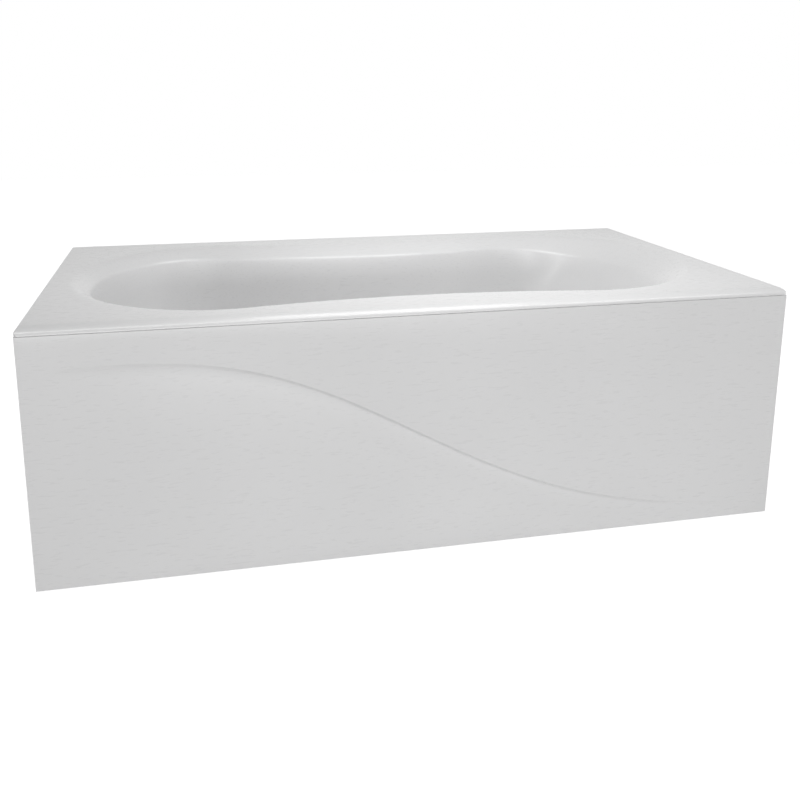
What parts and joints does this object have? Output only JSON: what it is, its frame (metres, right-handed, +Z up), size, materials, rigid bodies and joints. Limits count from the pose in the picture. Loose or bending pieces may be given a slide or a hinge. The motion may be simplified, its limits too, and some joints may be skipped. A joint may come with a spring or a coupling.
{
  "type": "alcove bathtub",
  "caption": "White acrylic alcove bath with a waisted basin, a sloping backrest, a flat front panel with a shallow wave, adjustable feet and a pop-up waste.",
  "frame": {"origin": "on the floor under the middle of the bath's outline", "axes": "+X towards the backrest end, -X towards the waste and overflow, -Y towards the front panel, +Z up"},
  "size_m": [1.5, 0.8, 0.5],
  "materials": {
    "bath_acrylic": "polished white acrylic",
    "panel_acrylic": "polished white acrylic",
    "glassfibre": "chopped glass fibre in resin, rough",
    "board": "raw particle board",
    "timber": "planed softwood",
    "leg_steel": "galvanised",
    "screw_steel": "bright zinc plate",
    "strike_steel": "zinc plate",
    "clip_plastic": "moulded",
    "catch_plastic": "moulded, with a magnet",
    "waste_chrome": "polished",
    "seal_rubber": "moulded",
    "waste_plastic": "moulded",
    "trap_plastic": "moulded",
    "hose_plastic": "ribbed, satin",
    "cable_sheath": "extruded",
    "cam_plastic": "moulded",
    "lever_brass": "machined",
    "foot_plastic": "moulded"
  },
  "bodies": {
    "bath": {"base_board": "board", "bracket_bolts": "screw_steel", "bracket_nuts": "screw_steel", "cable_ties": "cable_sheath", "clip_screws": "screw_steel", "control_cable": "cable_sheath", "gland_nuts": "lever_brass", "glassfibre_backing": "glassfibre", "hose_clips": "strike_steel", "leg_bar_left": "leg_steel", "leg_bar_right": "leg_steel", "leg_screws": "screw_steel", "lever_pin": "screw_steel", "lock_nuts": "screw_steel", "overflow_body": "waste_plastic", "overflow_hose": "hose_plastic", "overflow_seal": "seal_rubber", "overflow_trim": "waste_chrome", "panel_bracket_left": "leg_steel", "panel_bracket_right": "leg_steel", "panel_catches": "catch_plastic", "panel_clips": "clip_plastic", "rim_batten_back": "timber", "rim_batten_front": "timber", "rim_batten_left": "timber", "rim_batten_right": "timber", "trap_body": "trap_plastic", "trap_nut": "trap_plastic", "trap_washer": "seal_rubber", "trim_screws": "screw_steel", "tub_shell": "bath_acrylic", "wall_bracket_left": "leg_steel", "wall_bracket_right": "leg_steel", "wall_bracket_screws": "screw_steel", "waste_body": "waste_plastic", "waste_flange": "waste_chrome", "waste_lower_seal": "seal_rubber", "waste_upper_seal": "seal_rubber", "weld_nuts": "screw_steel"},
    "panel": {"front_panel": "panel_acrylic", "panel_upper_batten": "board", "panel_lower_batten": "board", "strike_plates": "strike_steel"},
    "knob": {"overflow_knob": "waste_chrome", "knob_spindle": "lever_brass", "knob_screw": "screw_steel", "overflow_cam": "cam_plastic"},
    "plug": {"waste_plug": "waste_chrome", "plug_seal": "seal_rubber"},
    "lever": {"lift_lever": "lever_brass"},
    "stem_front_left": {"foot_stem_front_left": "screw_steel"},
    "pad_front_left": {"foot_pad_front_left": "foot_plastic"},
    "stem_back_left": {"foot_stem_back_left": "screw_steel"},
    "pad_back_left": {"foot_pad_back_left": "foot_plastic"},
    "stem_front_right": {"foot_stem_front_right": "screw_steel"},
    "pad_front_right": {"foot_pad_front_right": "foot_plastic"},
    "stem_back_right": {"foot_stem_back_right": "screw_steel"},
    "pad_back_right": {"foot_pad_back_right": "foot_plastic"}
  },
  "joints": [
    {"name": "panel_swing", "type": "hinge", "parent": "bath", "child": "panel", "pos_m": [0, -0.395, 0.486], "axis": [-1, 0, 0], "range_deg": [0, 10]},
    {"name": "knob_turn", "type": "hinge", "parent": "bath", "child": "knob", "pos_m": [-0.65012, 0, 0.41], "axis": [0.9863, 0, 0.165], "range_deg": [0, 75]},
    {"name": "plug_lift", "type": "slide", "parent": "bath", "child": "plug", "axis": [0, 0, 1], "range_m": [0, 0.01]},
    {"name": "lever_tip", "type": "hinge", "parent": "bath", "child": "lever", "pos_m": [-0.46, 0, 0.09511], "axis": [0, 1, 0], "range_deg": [0, 25]},
    {"name": "foot_height_front_left", "type": "slide", "parent": "bath", "child": "pad_front_left", "axis": [0, 0, 1], "range_m": [-0.015, 0.015]},
    {"name": "foot_turn_front_left", "type": "hinge", "parent": "pad_front_left", "child": "stem_front_left", "pos_m": [-0.33, -0.27, 0.05], "axis": [0, 0, 1], "range_deg": [-3601, 3601]},
    {"name": "foot_height_back_left", "type": "slide", "parent": "bath", "child": "pad_back_left", "axis": [0, 0, 1], "range_m": [-0.015, 0.015]},
    {"name": "foot_turn_back_left", "type": "hinge", "parent": "pad_back_left", "child": "stem_back_left", "pos_m": [-0.33, 0.27, 0.05], "axis": [0, 0, 1], "range_deg": [-3601, 3601]},
    {"name": "foot_height_front_right", "type": "slide", "parent": "bath", "child": "pad_front_right", "axis": [0, 0, 1], "range_m": [-0.015, 0.015]},
    {"name": "foot_turn_front_right", "type": "hinge", "parent": "pad_front_right", "child": "stem_front_right", "pos_m": [0.262, -0.27, 0.05], "axis": [0, 0, 1], "range_deg": [-3601, 3601]},
    {"name": "foot_height_back_right", "type": "slide", "parent": "bath", "child": "pad_back_right", "axis": [0, 0, 1], "range_m": [-0.015, 0.015]},
    {"name": "foot_turn_back_right", "type": "hinge", "parent": "pad_back_right", "child": "stem_back_right", "pos_m": [0.262, 0.27, 0.05], "axis": [0, 0, 1], "range_deg": [-3601, 3601]}
  ],
  "couplings": [
    {"joint": "plug_lift", "follows": "knob_turn", "m_per_rad": 0.0076394},
    {"joint": "lever_tip", "follows": "knob_turn", "ratio": 0.33333},
    {"joint": "foot_turn_front_left", "follows": "foot_height_front_left", "rad_per_m": 4188.8},
    {"joint": "foot_turn_back_left", "follows": "foot_height_back_left", "rad_per_m": 4188.8},
    {"joint": "foot_turn_front_right", "follows": "foot_height_front_right", "rad_per_m": 4188.8},
    {"joint": "foot_turn_back_right", "follows": "foot_height_back_right", "rad_per_m": 4188.8}
  ]
}
